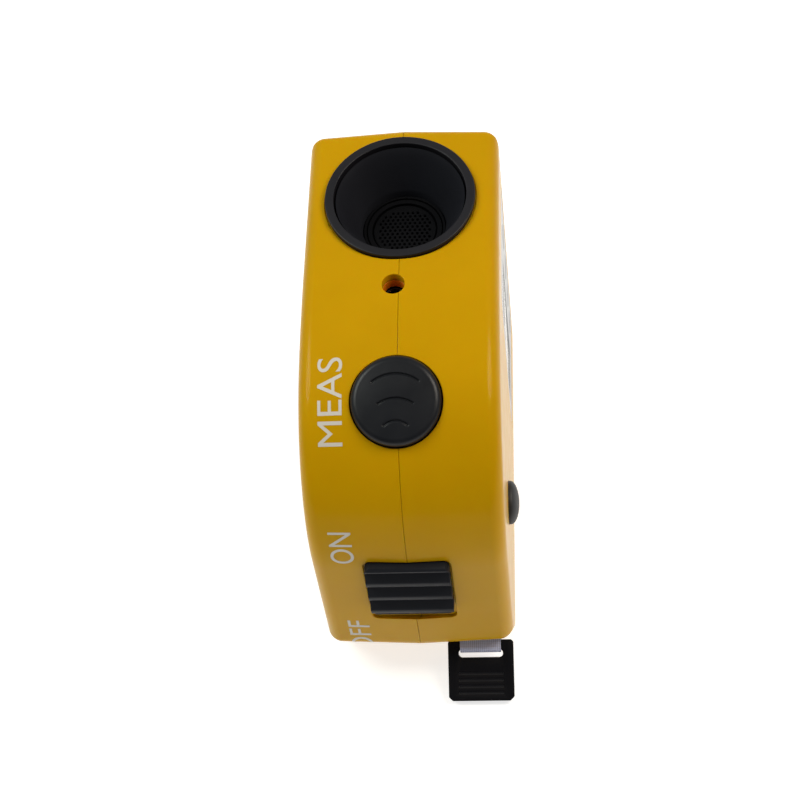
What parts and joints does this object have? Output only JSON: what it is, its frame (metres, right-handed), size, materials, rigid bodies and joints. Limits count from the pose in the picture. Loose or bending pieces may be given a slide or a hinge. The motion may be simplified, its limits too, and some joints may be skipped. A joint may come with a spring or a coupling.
{
  "type": "ultrasonic distance meter with laser pointer",
  "caption": "Handheld ultrasonic distance meter in a two-shell plastic case, with laser pointer, measure button, on/off slide, side display and a small retractable tape.",
  "frame": {"origin": "on the flat rear face, the face it measures from, in the plane where the two shells meet", "axes": "+Z is the measuring direction, +Y points to the end with the sensor, +X to the side with the display"},
  "size_m": [0.0422, 0.0991, 0.0777],
  "materials": {
    "yellow_shell": "moulded, satin gloss",
    "satin_black": "satin moulded",
    "black_plastic": "semi-gloss moulded",
    "panel_grey": "printed overlay, plain",
    "clear_window": "clear acrylic",
    "lcd_glass": "display glass",
    "rubber": "moulded",
    "tape_grey": "coated glass-fibre tape",
    "steel": "zinc plated",
    "circuit_board": "solder mask",
    "white_nylon": "moulded",
    "battery_skin": "plain shrink sleeve",
    "key_grey": "moulded, light grey",
    "black_metal": "black coated",
    "lens": "polished",
    "wire_red": "PVC insulation"
  },
  "bodies": {
    "housing": {"acoustic_horn": "black_plastic", "battery": "battery_skin", "battery_clip": "black_plastic", "battery_lead_black": "black_plastic", "battery_lead_red": "wire_red", "battery_terminal_1": "steel", "battery_terminal_2": "steel", "button_board": "circuit_board", "buzzer": "black_plastic", "display_panel": "panel_grey", "housing_left": "yellow_shell", "housing_right": "yellow_shell", "housing_screw_1": "steel", "housing_screw_2": "steel", "housing_screw_3": "steel", "housing_screw_4": "steel", "key_mat": "rubber", "laser_barrel": "black_metal", "laser_bezel": "yellow_shell", "laser_driver_board": "circuit_board", "laser_lens": "lens", "lcd_frame": "black_plastic", "lcd_glass": "lcd_glass", "lcd_window": "clear_window", "main_board": "circuit_board", "main_chip": "black_plastic", "measure_tact_switch": "black_plastic", "reel_axle": "steel", "sensor_bezel": "satin_black", "slide_switch": "steel", "switch_board": "circuit_board", "tape_case": "black_plastic", "tape_mouth": "black_plastic", "transducer_can": "black_metal", "transducer_mesh": "black_plastic", "transducer_sleeve": "rubber", "zebra_strip": "rubber"},
    "measure_button": {"measure_button": "black_plastic", "measure_plunger": "white_nylon"},
    "power_slide": {"power_slide": "black_plastic", "switch_lever": "white_nylon"},
    "tape": {"tape_tab": "black_plastic", "tape_loop": "tape_grey", "tape_strip": "tape_grey"},
    "reel": {"reel_hub": "white_nylon", "tape_coil": "tape_grey", "clock_spring": "steel"},
    "rewind_button": {"rewind_button": "rubber", "rewind_spring": "steel"},
    "key_unit": {"key_unit": "key_grey"},
    "key_area": {"key_area": "key_grey"},
    "key_memory": {"key_memory": "key_grey"},
    "key_clear": {"key_clear": "key_grey"},
    "battery_door": {"battery_door": "yellow_shell"}
  },
  "joints": [
    {"name": "measure_press", "type": "slide", "parent": "housing", "child": "measure_button", "axis": [0, 0.3762, -0.9265], "range_m": [0, 0.0008], "stiffness_N_per_m": 400, "springref_m": -0.0015},
    {"name": "power_switch", "type": "slide", "parent": "housing", "child": "power_slide", "axis": [0, -0.1011, -0.9949], "range_m": [0, 0.0035]},
    {"name": "tape_pull", "type": "slide", "parent": "housing", "child": "tape", "axis": [0, -0.891, -0.454], "range_m": [0, 1], "deforming": ["tape_strip"]},
    {"name": "reel_spin", "type": "hinge", "parent": "housing", "child": "reel", "pos_m": [0.0125, -0.0321, 0.0337], "axis": [-1, 0, 0], "range_deg": [0, 4500]},
    {"name": "rewind_press", "type": "slide", "parent": "housing", "child": "rewind_button", "axis": [-1, 0, 0], "range_m": [0, 0.0013], "stiffness_N_per_m": 150, "springref_m": -0.002, "deforming": ["rewind_spring"]},
    {"name": "battery_door_hinge", "type": "hinge", "parent": "housing", "child": "battery_door", "pos_m": [-0.002, 0.0209, 0.0008], "axis": [1, 0, 0], "range_deg": [0, 95]},
    {"name": "key_unit_press", "type": "slide", "parent": "housing", "child": "key_unit", "axis": [-1, 0, 0], "range_m": [0, 0.0006], "stiffness_N_per_m": 60, "springref_m": -0.003},
    {"name": "key_area_press", "type": "slide", "parent": "housing", "child": "key_area", "axis": [-1, 0, 0], "range_m": [0, 0.0006], "stiffness_N_per_m": 60, "springref_m": -0.003},
    {"name": "key_memory_press", "type": "slide", "parent": "housing", "child": "key_memory", "axis": [-1, 0, 0], "range_m": [0, 0.0006], "stiffness_N_per_m": 60, "springref_m": -0.003},
    {"name": "key_clear_press", "type": "slide", "parent": "housing", "child": "key_clear", "axis": [-1, 0, 0], "range_m": [0, 0.0006], "stiffness_N_per_m": 60, "springref_m": -0.003}
  ],
  "couplings": [
    {"joint": "reel_spin", "follows": "tape_pull", "rad_per_m": 78.4}
  ]
}
